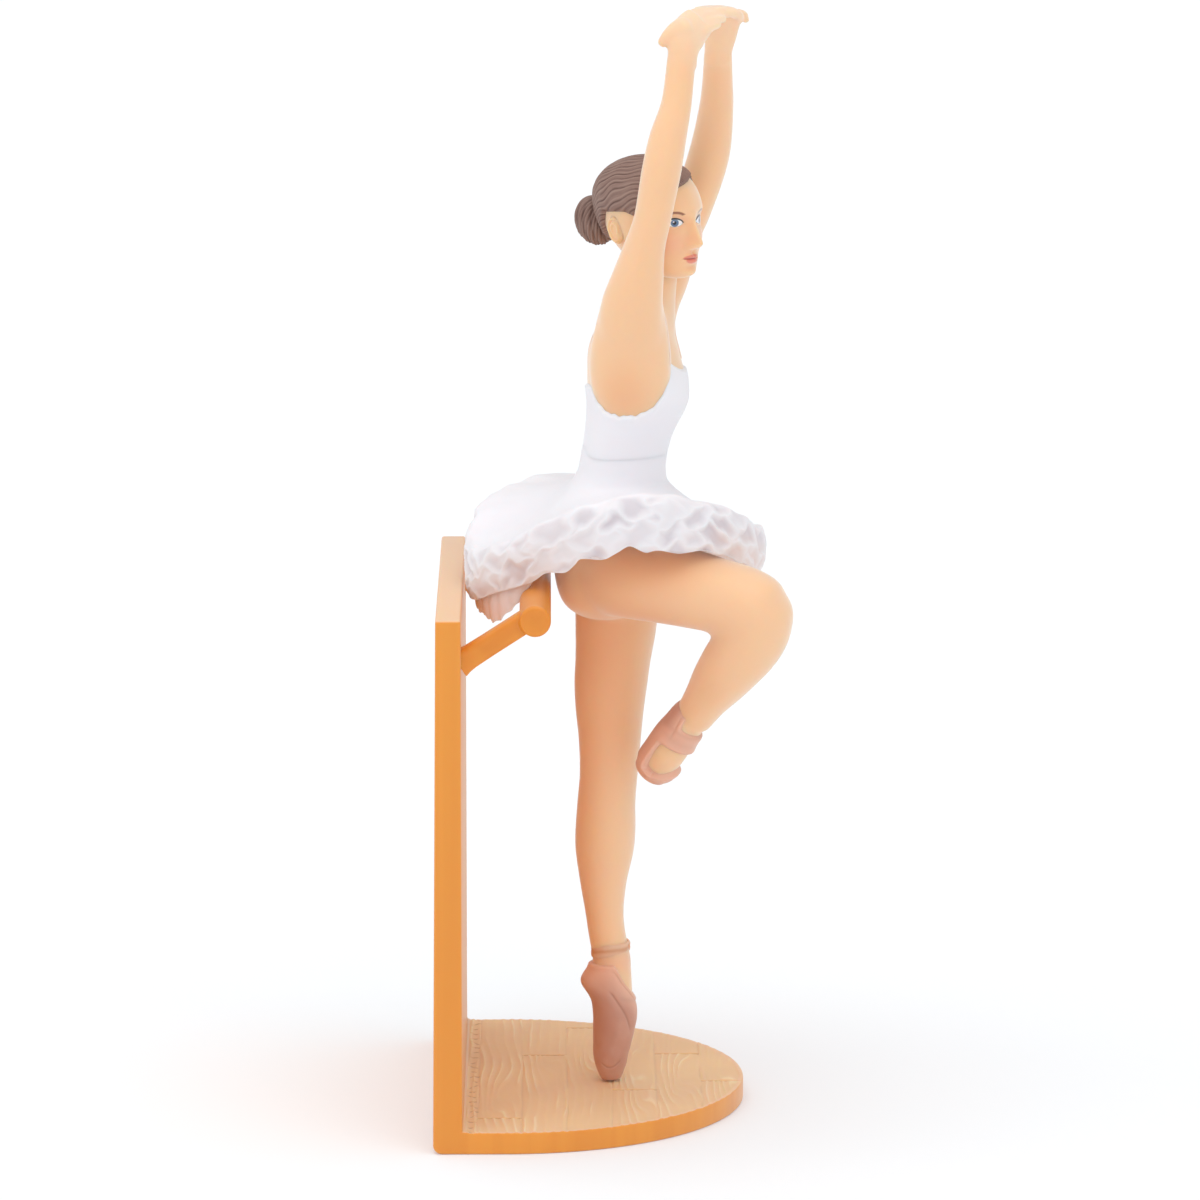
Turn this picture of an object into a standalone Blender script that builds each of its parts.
"""Toy ballerina at a practice barre: a moulded figure, its stand and the barre, in metres, +Z up.

The origin is the middle of the stand's underside. The dancer stands on one toe and faces +X.
"""

import math

import bmesh
import bpy
from mathutils import Vector

# The stand: a D-shaped floor and an upright panel, moulded as one piece.
STAND_WIDTH = 0.0537
FLOOR_THICKNESS = 0.0026
FLOOR_RUN = 0.03185
STRAIGHT_SIDE = 0.0050
PANEL_THICKNESS = 0.00325
PANEL_TAPER = 0.00045
PANEL_ABOVE_BARRE = 0.0003
HEEL_RADIUS = 0.0010
EDGE_ROUND = 0.00025

# The moulded floorboards.
STRIP_WIDTH = 0.0021
BOARD_WIDTH = 0.0049
BOARD_LENGTH = 0.0170
JOINT_WIDTH = 0.00028
JOINT_DEPTH = 0.00022
JOINT_MARGIN = 0.0012

# The barre and its two brackets, one moulding.
BARRE_RADIUS = 0.00175
BARRE_END_INSET = 0.00095
BRACKET_SIDE = 0.0025
BRACKET_INSET = 0.0030
BRACKET_SLOPE = math.radians(33)

# The dancer, measured from toe tip to fingertips, and where she stands.
DANCER_REACH = 0.1221
DANCER_TURN = math.radians(20)
HEAD_TURN = math.radians(35)
TOE_FORWARD_OF_MIDDLE = 0.0030

# Clearances between the pieces.
GAP = 0.0003
TUTU_TO_PANEL = 0.0004
HIP_TO_BARRE = 0.0006
TUTU_TO_BARRE = 0.0004

# What the stand has to clear, as shares of the dancer's reach.
TUTU_REACH_BACK = 0.1345
HIP_REACH_BACK = 0.0515
TUTU_UNDERSIDE = 0.4855

TOE_HEIGHT = FLOOR_THICKNESS + GAP
PANEL_BACK = -(PANEL_THICKNESS + FLOOR_RUN) / 2
PANEL_FRONT = PANEL_BACK + PANEL_THICKNESS
FLOOR_TIP = PANEL_FRONT + FLOOR_RUN
TOE_X = PANEL_FRONT + TUTU_TO_PANEL + TUTU_REACH_BACK * DANCER_REACH
TOE = Vector((TOE_X, -TOE_FORWARD_OF_MIDDLE, TOE_HEIGHT))
BARRE_X = TOE_X - HIP_REACH_BACK * DANCER_REACH - HIP_TO_BARRE - BARRE_RADIUS
BARRE_Z = TOE_HEIGHT + TUTU_UNDERSIDE * DANCER_REACH - TUTU_TO_BARRE - BARRE_RADIUS
PANEL_TOP = BARRE_Z + PANEL_ABOVE_BARRE

# The dancer's own directions. Positions on her body are thousandths of her reach from the toe tip.
FORWARD = Vector((math.cos(DANCER_TURN), -math.sin(DANCER_TURN), 0))
LEFT = Vector((math.sin(DANCER_TURN), math.cos(DANCER_TURN), 0))
FACING = Vector((math.cos(HEAD_TURN), -math.sin(HEAD_TURN), 0))
FACE_LEFT = Vector((math.sin(HEAD_TURN), math.cos(HEAD_TURN), 0))
UP = Vector((0, 0, 1))
ACROSS = Vector((1, 0, 0))
UNIT = DANCER_REACH / 1000

for old in list(bpy.data.objects):
    bpy.data.objects.remove(old, do_unlink=True)


def material(name, colour, roughness):
    made = bpy.data.materials.new(name)
    made.use_nodes = True
    shader = made.node_tree.nodes["Principled BSDF"]
    shader.inputs["Base Color"].default_value = (*colour, 1)
    shader.inputs["Roughness"].default_value = roughness
    shader.inputs["Metallic"].default_value = 0
    return made


def add_object(name, shape):
    """The bmesh as a closed object with its faces pointing out."""
    bmesh.ops.recalc_face_normals(shape, faces=shape.faces)
    mesh = bpy.data.meshes.new(name)
    shape.to_mesh(mesh)
    shape.free()
    made = bpy.data.objects.new(name, mesh)
    bpy.context.scene.collection.objects.link(made)
    return made


def combine(target, others, operation):
    """Joins the other solids to the target, or cuts them from it, and removes them."""
    helpers = bpy.data.collections.new("helpers")
    for other in others:
        helpers.objects.link(other)
    boolean = target.modifiers.new(operation.lower(), "BOOLEAN")
    boolean.operation = operation
    boolean.operand_type = "COLLECTION"
    boolean.collection = helpers
    boolean.solver = "EXACT"
    apply_modifiers(target)
    for other in others:
        bpy.data.objects.remove(other, do_unlink=True)
    bpy.data.collections.remove(helpers)


def apply_modifiers(target):
    graph = bpy.context.evaluated_depsgraph_get()
    mesh = bpy.data.meshes.new_from_object(target.evaluated_get(graph))
    target.modifiers.clear()
    target.data = mesh


def at(x, y, z):
    """A point on the dancer, in thousandths of her reach from the toe tip."""
    return TOE + Vector((x, y, z)) * UNIT


def ring_points(centre, first, second, sides, squareness=1.0):
    """Points round an ellipse with the two half axes; a squareness under 1 makes it boxier."""
    points = []
    for i in range(sides):
        turn = 2 * math.pi * i / sides
        c, s = math.cos(turn), math.sin(turn)
        c = math.copysign(abs(c) ** squareness, c)
        s = math.copysign(abs(s) ** squareness, s)
        points.append(centre + first * c + second * s)
    return points


def loft(name, rings, closed_ends=True, ring_loop=False):
    """A skin over rings of equal length, closed at both ends or joined into a loop."""
    shape = bmesh.new()
    rows = [[shape.verts.new(p) for p in ring] for ring in rings]
    pairs = list(zip(rows, rows[1:]))
    if ring_loop:
        pairs.append((rows[-1], rows[0]))
    for low, high in pairs:
        for i in range(len(low)):
            j = (i + 1) % len(low)
            shape.faces.new((low[i], low[j], high[j], high[i]))
    if closed_ends and not ring_loop:
        for row in (rows[0], rows[-1]):
            middle = shape.verts.new(sum((v.co for v in row), Vector()) / len(row))
            for i in range(len(row)):
                shape.faces.new((row[i], row[(i + 1) % len(row)], middle))
    return add_object(name, shape)


def smoothed(stations, steps):
    """More stations along a smooth curve through the given ones."""
    out = []
    last = len(stations) - 1
    for i in range(last):
        before, here = stations[max(i - 1, 0)], stations[i]
        there, after = stations[i + 1], stations[min(i + 2, last)]
        for step in range(steps):
            t = step / steps
            out.append(tuple(
                0.5 * (2 * b + (c - a) * t + (2 * a - 5 * b + 4 * c - d) * t * t
                       + (3 * b - a - 3 * c + d) * t ** 3)
                for a, b, c, d in zip(before, here, there, after)
            ))
    out.append(stations[-1])
    return out


def rounded_end(centre, bulge, side, depth, sides):
    """Two shrinking rings that round off the end of a limb."""
    rings = []
    for turn in (math.radians(38), math.radians(68)):
        flat = math.cos(turn)
        rings.append(ring_points(centre + bulge * math.sin(turn), side * flat, depth * flat, sides))
    return rings


def limb(name, stations, across=ACROSS, sides=12, steps=1, blunt=0.55):
    """A tube through stations (x, y, z, half width across, half depth) with rounded ends."""
    rows = smoothed(stations, steps)
    centres = [at(*row[:3]) for row in rows]
    rings = []
    for i, row in enumerate(rows):
        run = centres[min(i + 1, len(rows) - 1)] - centres[max(i - 1, 0)]
        run.normalize()
        side = (across - run * across.dot(run)).normalized()
        depth = run.cross(side)
        size = (row[3] * UNIT, row[4] * UNIT)
        if i == 0:
            rings += rounded_end(centres[0], -run * blunt * size[1], side * size[0], depth * size[1], sides)[::-1]
        rings.append(ring_points(centres[i], side * size[0], depth * size[1], sides))
        if i == len(rows) - 1:
            rings += rounded_end(centres[-1], run * blunt * size[1], side * size[0], depth * size[1], sides)
    return loft(name, rings)


def stack(name, stations, centre_line, first, second, sides):
    """A loft of level rings: (height, forward shift, half size forward, half size sideways)."""
    rings = []
    for height, shift, half_first, half_second in stations:
        centre = centre_line + UP * height * UNIT + first * shift * UNIT
        rings.append(ring_points(centre, first * half_first * UNIT, second * half_second * UNIT, sides))
    return loft(name, rings)


def ball(name, centre, axes, columns, rows, groove=0.0, twist=0.0):
    """An ellipsoid with its poles on the third axis and, at will, grooves that run pole to pole."""
    first, second, pole = axes
    rings = []
    for row in range(1, rows):
        lift = math.pi * row / rows
        ring = []
        for i in range(columns):
            turn = 2 * math.pi * i / columns
            depth = 1 - groove * (i % 2) * math.sin(lift)
            spin = turn + twist * lift
            flat = first * math.cos(spin) + second * math.sin(spin)
            ring.append(centre + flat * math.sin(lift) * depth - pole * math.cos(lift))
        rings.append(ring)
    return loft(name, rings)


def torso_solid():
    """Hips, waist and chest as level rings, leaning a little forward."""
    stations = (
        (428, -4, 22, 30), (446, -4, 38, 54), (470, -7, 43, 62), (492, -7, 42, 62),
        (515, -3, 38, 56), (538, 6, 34, 48), (558, 12, 33, 43), (574, 13, 34, 43),
        (590, 14, 36, 45), (606, 17, 37, 48), (620, 21, 39, 51), (633, 25, 42, 54),
        (646, 27, 44, 56), (662, 26, 44, 56), (678, 24, 42, 54), (694, 23, 39, 50),
        (710, 24, 34, 44), (725, 30, 27, 35),
    )
    middle = Vector((TOE_X, TOE.y + 6 * UNIT, TOE.z))
    return stack("torso", stations, middle, FORWARD, LEFT, 24)


def neck_solid():
    return limb("neck", ((42, 4, 706, 27, 27), (41, 3, 740, 25, 25), (38, 2, 772, 25, 26)), blunt=0.2)


HEAD_FOOT = Vector((37, 1, 757))
HEAD_HEIGHT = 106
HEAD_RINGS = (
    (0.00, 27, 12, 10), (0.05, 22, 20, 17), (0.14, 15, 30, 25), (0.24, 9, 38, 31), (0.36, 4, 43, 35),
    (0.48, 0, 47, 37), (0.60, -2, 50, 39), (0.72, -4, 49, 38), (0.83, -5, 43, 34), (0.92, -6, 31, 25),
    (0.98, -6, 15, 12),
)


def head_point(forward, left, share):
    """A point of the head: thousandths forward and left of its middle, share of its height up."""
    foot = at(*HEAD_FOOT)
    return foot + (FACING * forward + FACE_LEFT * left + UP * share * HEAD_HEIGHT) * UNIT


def head_solids():
    """Head, nose and ears, with swept-back hair in grooves that meet at the bun."""
    rings = []
    for share, shift, half_first, half_second in HEAD_RINGS:
        centre = head_point(shift, 0, share)
        rings.append(ring_points(centre, FACING * half_first * UNIT, FACE_LEFT * half_second * UNIT, 20))
    parts = [loft("head", rings)]
    nose = []
    for forward, share, half_side, half_depth in ((46, 0.53, 3, 3), (50, 0.43, 4, 4), (51, 0.36, 6, 5), (46, 0.31, 5, 4)):
        centre = head_point(forward, 0, share)
        nose.append(ring_points(centre, FACE_LEFT * half_side * UNIT, FACING * half_depth * UNIT, 8))
    parts.append(loft("nose", nose))
    to_bun = (-FACING * 0.94 - UP * 0.34).normalized()
    over = to_bun.cross(FACE_LEFT).normalized()
    hair_centre = head_point(-8, 0, 0.615)
    parts.append(ball("hair", hair_centre, (FACE_LEFT * 43 * UNIT, over * 47 * UNIT, to_bun * 49 * UNIT), 44, 11, 0.05))
    bun_centre = head_point(-64, 0, 0.42)
    bun_axes = (FACE_LEFT * 22 * UNIT, UP * 24 * UNIT, -FACING * 20 * UNIT)
    parts.append(ball("bun", bun_centre, bun_axes, 22, 7, 0.09, 0.7))
    for side in (-1, 1):
        ear_axes = (FACING * 8 * UNIT, UP * 12 * UNIT, FACE_LEFT * side * 5 * UNIT)
        parts.append(ball("ear", head_point(-7, side * 38, 0.44), ear_axes, 10, 5))
    return parts


def arm_solids():
    near = ((17, -38, 668, 25, 17), (19, -43, 696, 30, 23), (19, -50, 732, 29, 25), (25, -55, 764, 24, 22), (31, -57, 792, 19, 20),
            (38, -59, 818, 17, 18), (46, -58, 861, 18, 18), (52, -51, 891, 17, 16), (60, -41, 922, 14, 13),
            (65, -29, 965, 13, 11))
    far = ((32, 44, 668, 25, 17), (39, 50, 700, 28, 24), (49, 60, 734, 24, 24), (67, 67, 784, 20, 20), (80, 70, 817, 19, 19),
           (92, 65, 862, 19, 18), (98, 54, 905, 16, 15), (99, 43, 934, 14, 13), (99, 35, 957, 13, 11))
    shoulders = ((22, -44, 712, 26, 22), (28, -22, 722, 24, 24), (36, 4, 728, 24, 25), (42, 30, 724, 24, 24),
                 (46, 52, 716, 25, 22))
    return [limb("near arm", near), limb("far arm", far), limb("shoulders", shoulders, sides=14)]


def hand_solids(name, wrist, fingers_to, thumb_side, spread):
    """A palm, four fingers and a thumb; spread holds each finger's sideways fan and length."""
    start = Vector(wrist)
    reach = (Vector(fingers_to) - start).normalized()
    side = (thumb_side - reach * thumb_side.dot(reach)).normalized()
    palm = [(*(start - reach * 6), 13, 11)]
    for along, half_width, half_depth in ((10, 15, 10), (26, 20, 9), (40, 20, 7)):
        palm.append((*(start + reach * along), half_width, half_depth))
    parts = [limb(f"{name} palm", palm, side, 12, 1, 0.3)]
    for offset, fan, length, drop in spread:
        root = start + reach * 34 + side * offset
        bend = root + reach * length * 0.5 + side * fan * 0.5
        tip = root + reach * length + side * fan - UP * drop
        stations = ((*root, 5.5, 5.5), (*bend, 5.2, 5.2), (*tip, 4, 4))
        parts.append(limb(f"{name} finger", stations, side, 7, 1, 0.6))
    root = start + reach * 10 + side * 12
    tip = root + reach * 16 + side * 20 - UP * 4
    parts.append(limb(f"{name} thumb", ((*root, 7, 7), (*((root + tip) / 2), 6, 6), (*tip, 4.5, 4.5)), side, 7, 1, 0.6))
    return parts


def hands():
    near = hand_solids("near", (65, -29, 965), (88, 24, 996), Vector((-0.93, 0.3, 0)),
                       ((13, 0, 30, 2), (5, 0, 35, 0), (-4, -2, 34, 0), (-12, -6, 30, 2)))
    far = hand_solids("far", (99, 35, 957), (102, -2, 988), Vector((-1, 0, 0)),
                      ((12, 1, 30, 0), (4, 0, 34, 0), (-5, -4, 32, 2), (-13, -12, 27, 5)))
    return near + far


def leg_solids():
    standing = ((7, 34, 470, 39, 40), (6, 32, 430, 38, 38), (3, 29, 395, 35, 36), (1, 26, 373, 34, 34),
                (0, 25, 350, 32, 32), (0, 23, 320, 29, 29), (-1, 20, 288, 27, 27), (-3, 18, 263, 27, 28),
                (-4, 16, 236, 28, 30), (-5, 14, 215, 27, 28), (-6, 11, 188, 22, 23), (-5, 8, 160, 18, 19),
                (-4, 7, 140, 18, 18), (-1, 6, 112, 18, 18))
    thigh = ((2, -30, 482, 43, 43), (27, -49, 480, 42, 42), (63, -69, 477, 40, 40), (95, -87, 472, 37, 38),
             (119, -98, 468, 37, 37), (135, -105, 462, 36, 36))
    shin = ((132, -103, 464, 35, 35), (129, -98, 446, 35, 34), (119, -91, 428, 33, 32), (107, -82, 410, 30, 30),
            (96, -69, 391, 26, 26), (86, -59, 373, 21, 21), (77, -50, 356, 18, 18))
    over_thigh = Vector((0, 0, 1))
    return [
        limb("standing leg", standing),
        limb("thigh", thigh, over_thigh, 14, 1, 0.6),
        limb("shin", shin, Vector((0.75, 0, -0.66)), 12, 1, 0.6),
    ]


def shoe_solids():
    """The standing shoe with its heel, ankle band and blocked toe, and the raised shoe."""
    standing = ((1, 1, 4, 9, 9), (2, 1, 11, 14, 14), (3, 1, 24, 18, 18), (5, 2, 42, 21, 20), (5, 3, 62, 22, 21),
                (2, 4, 78, 22, 22), (-3, 5, 92, 25, 24), (0, 6, 105, 22, 23), (2, 7, 118, 19, 20))
    band = ((-1, 7, 124, 20, 20), (-3, 7, 131, 21, 21), (-4, 7, 138, 20, 20))
    raised = ((78, -52, 360, 19, 18), (69, -47, 349, 23, 20), (60, -41, 334, 27, 22), (52, -36, 320, 27, 22),
              (44, -30, 306, 23, 20), (37, -26, 297, 15, 14))
    heel = ((66, -44, 352, 13, 12), (58, -39, 357, 12, 11))
    tilt = Vector((0.8, 0, 0.6))
    return [
        limb("standing shoe", standing, ACROSS, 14, 1, 0.3),
        limb("ankle band", band, ACROSS, 14, 1, 0.1),
        limb("raised shoe", raised, tilt, 14, 1, 0.4),
        limb("raised heel", heel, tilt, 10, 1, 0.5),
    ]


TUTU_MIDDLE = (7, 6)
TUTU_RADIUS = 138
TUTU_WAIST = 556
TUTU_COLUMNS = 84
RUFFLE_COUNT = 21


def tutu_edge(turn):
    """Height of the tutu's upper edge: it dips front and back and rides up over the raised thigh."""
    lift = 10 * math.cos(turn) - 15 * math.sin(turn) - 20 * math.cos(2 * turn) - 7 * math.sin(2 * turn)
    back_fold = 22 * max(0.0, math.cos(turn - math.radians(130))) ** 4
    return TUTU_WAIST - 22 + lift + back_fold


def tutu_hang(turn):
    """How far the under layer hangs below the rim, only behind the barre."""
    return 25 * max(0.0, math.cos(turn - math.radians(175))) ** 6


def tutu_ring(radius_share, height_at, ruffle=0.0, phase=0.0):
    ring = []
    for i in range(TUTU_COLUMNS):
        turn = 2 * math.pi * i / TUTU_COLUMNS
        wave = 1 + ruffle * math.cos(RUFFLE_COUNT * turn + phase)
        radius = TUTU_RADIUS * radius_share * wave
        x = TUTU_MIDDLE[0] + radius * math.cos(turn)
        y = TUTU_MIDDLE[1] + radius * math.sin(turn)
        ring.append(at(x, y, height_at(turn)))
    return ring


def tutu_solid():
    """A thick frilled disc: a smooth top, a dimpled rim and a wavy lower edge."""
    rim = 42

    def top(share):
        return lambda turn: TUTU_WAIST + 4 + (tutu_edge(turn) - TUTU_WAIST - 4) * share

    def below(drop, wave=0.0, hang=0.0):
        return lambda turn: (tutu_edge(turn) - drop + wave * math.cos(RUFFLE_COUNT / 3 * 2 * turn)
                             - hang * tutu_hang(turn))

    def inside(turn):
        return max(tutu_edge(turn) - rim + 6, TUTU_UNDERSIDE * 1000 + 6)

    rings = [
        tutu_ring(0.19, lambda turn: TUTU_WAIST - 8),
        tutu_ring(0.29, lambda turn: TUTU_WAIST + 2),
        tutu_ring(0.50, top(0.45)),
        tutu_ring(0.74, top(0.85)),
        tutu_ring(0.92, top(1.0)),
        tutu_ring(0.985, below(5), 0.012),
        tutu_ring(0.99, below(15), 0.022),
        tutu_ring(0.985, below(25), 0.022, math.pi),
        tutu_ring(0.965, below(34), 0.02, math.pi),
        tutu_ring(0.93, below(rim, 3), 0.015),
        tutu_ring(0.84, below(rim, 3, 1.0)),
        tutu_ring(0.74, inside),
        tutu_ring(0.40, inside),
        tutu_ring(0.19, inside),
    ]
    return loft("tutu", rings, ring_loop=True)


def build_ballerina(finish):
    figure = torso_solid()
    parts = [neck_solid(), tutu_solid()]
    parts += head_solids() + arm_solids() + hands() + leg_solids() + shoe_solids()
    combine(figure, parts, "UNION")
    figure.name = "ballerina"
    finish_piece(figure, finish)


def finish_piece(piece, finish):
    piece.data.materials.clear()
    piece.data.materials.append(finish)
    piece.data.name = piece.name
    piece.data.shade_smooth()
    piece.data.set_sharp_from_angle(angle=math.radians(40))


def prism(name, outline, start, run):
    """The outline pushed along run, as a closed solid."""
    shape = bmesh.new()
    face = shape.faces.new([shape.verts.new(p + start) for p in outline])
    pushed = bmesh.ops.extrude_face_region(shape, geom=[face])
    moved = [item for item in pushed["geom"] if isinstance(item, bmesh.types.BMVert)]
    bmesh.ops.translate(shape, verts=moved, vec=run)
    return add_object(name, shape)


def box(name, low, high):
    outline = [Vector((low[0], low[1], 0)), Vector((high[0], low[1], 0)),
               Vector((high[0], high[1], 0)), Vector((low[0], high[1], 0))]
    return prism(name, outline, Vector((0, 0, low[2])), Vector((0, 0, high[2] - low[2])))


def floor_half_width(x):
    """Half the floor's width at x: straight beside the panel, then half an ellipse."""
    bend = PANEL_FRONT + STRAIGHT_SIDE
    if x <= bend:
        return STAND_WIDTH / 2
    share = min((x - bend) / (FLOOR_TIP - bend), 1.0)
    return STAND_WIDTH / 2 * math.sqrt(1 - share * share)


def stand_profile():
    """The stand seen from the side: floor, panel and the rounded heel where they meet."""
    points = [Vector((FLOOR_TIP + STRAIGHT_SIDE, 0, 0)), Vector((FLOOR_TIP + STRAIGHT_SIDE, 0, FLOOR_THICKNESS)),
              Vector((PANEL_FRONT, 0, FLOOR_THICKNESS)), Vector((PANEL_FRONT, 0, PANEL_TOP)),
              Vector((PANEL_BACK + PANEL_TAPER, 0, PANEL_TOP))]
    steps = 6
    for i in range(steps + 1):
        turn = math.pi + i / steps * math.pi / 2
        points.append(Vector((PANEL_BACK + HEEL_RADIUS * (1 + math.cos(turn)), 0, HEEL_RADIUS * (1 + math.sin(turn)))))
    return points


def stand_plan():
    """The D-shaped plan, counter-clockwise."""
    bend = PANEL_FRONT + STRAIGHT_SIDE
    half = STAND_WIDTH / 2
    points = [Vector((PANEL_BACK, half, 0)), Vector((PANEL_BACK, -half, 0))]
    steps = 28
    for i in range(steps + 1):
        turn = -math.pi / 2 + math.pi * i / steps
        points.append(Vector((bend + (FLOOR_TIP - bend) * math.cos(turn), half * math.sin(turn), 0)))
    return points


def board_joints():
    """Shallow grooves between the floorboards, and where two boards meet end to end."""
    cuts = []
    low = FLOOR_THICKNESS - JOINT_DEPTH
    high = FLOOR_THICKNESS + JOINT_DEPTH
    edge = PANEL_FRONT + STRIP_WIDTH
    row = 0
    while edge < FLOOR_TIP - JOINT_MARGIN:
        reach = floor_half_width(edge + JOINT_WIDTH) - JOINT_MARGIN
        if reach > JOINT_WIDTH:
            cuts.append(box("joint", (edge - JOINT_WIDTH / 2, -reach, low), (edge + JOINT_WIDTH / 2, reach, high)))
        far = edge + BOARD_WIDTH
        butt = -STAND_WIDTH / 2 + BOARD_LENGTH * (0.35 + 0.5 * (row % 2))
        inner = floor_half_width(min(far, FLOOR_TIP)) - JOINT_MARGIN
        while butt < STAND_WIDTH / 2:
            if abs(butt) < inner and far < FLOOR_TIP:
                cuts.append(box("butt", (edge, butt - JOINT_WIDTH / 2, low), (far, butt + JOINT_WIDTH / 2, high)))
            butt += BOARD_LENGTH
        edge = far
        row += 1
    return cuts


def build_stand(finish):
    half = Vector((0, STAND_WIDTH, 0))
    stand = prism("stand", stand_profile(), -half, half * 2)
    plan = prism("plan", stand_plan(), Vector((0, 0, -FLOOR_THICKNESS)), Vector((0, 0, PANEL_TOP + 2 * FLOOR_THICKNESS)))
    combine(stand, [plan], "INTERSECT")
    rounding = stand.modifiers.new("edges", "BEVEL")
    rounding.width = EDGE_ROUND
    rounding.segments = 2
    rounding.limit_method = "ANGLE"
    rounding.angle_limit = math.radians(50)
    apply_modifiers(stand)
    cuts = board_joints()
    combine(cuts[0], cuts[1:], "UNION")
    combine(stand, [cuts[0]], "DIFFERENCE")
    finish_piece(stand, finish)


def build_barre(finish):
    """A round rail across the stand with two sloping brackets that end at the panel."""
    half = STAND_WIDTH / 2 - BARRE_END_INSET
    rings = []
    for y, share in ((-half, 0.9), (-half + EDGE_ROUND, 1), (half - EDGE_ROUND, 1), (half, 0.9)):
        centre = Vector((BARRE_X, y, BARRE_Z))
        rings.append(ring_points(centre, ACROSS * BARRE_RADIUS * share, UP * BARRE_RADIUS * share, 24))
    barre = loft("barre", rings)
    along = Vector((math.cos(BRACKET_SLOPE), 0, math.sin(BRACKET_SLOPE)))
    upright = Vector((-math.sin(BRACKET_SLOPE), 0, math.cos(BRACKET_SLOPE)))
    depth = Vector((0, 1, 0))
    brackets = []
    for side in (-1, 1):
        outer = Vector((BARRE_X - BARRE_RADIUS, side * (STAND_WIDTH / 2 - BRACKET_INSET), BARRE_Z))
        top = outer + along * BARRE_RADIUS * 0.6
        length = (BARRE_X - PANEL_FRONT) / math.cos(BRACKET_SLOPE)
        size = BRACKET_SIDE / 2
        ends = [ring_points(point, upright * size, depth * size, 12, 0.6) for point in (top - along * length, top)]
        brackets.append(loft("bracket", ends))
    combine(barre, brackets, "UNION")
    wall = box("wall", (PANEL_BACK - STAND_WIDTH, -STAND_WIDTH, 0), (PANEL_FRONT + GAP, STAND_WIDTH, 2 * PANEL_TOP))
    combine(barre, [wall], "DIFFERENCE")
    finish_piece(barre, finish)


orange_plastic = material("orange_plastic", (0.80, 0.33, 0.07), 0.45)
painted_figure = material("painted_figure", (0.90, 0.60, 0.42), 0.45)
build_stand(orange_plastic)
build_barre(orange_plastic)
build_ballerina(painted_figure)
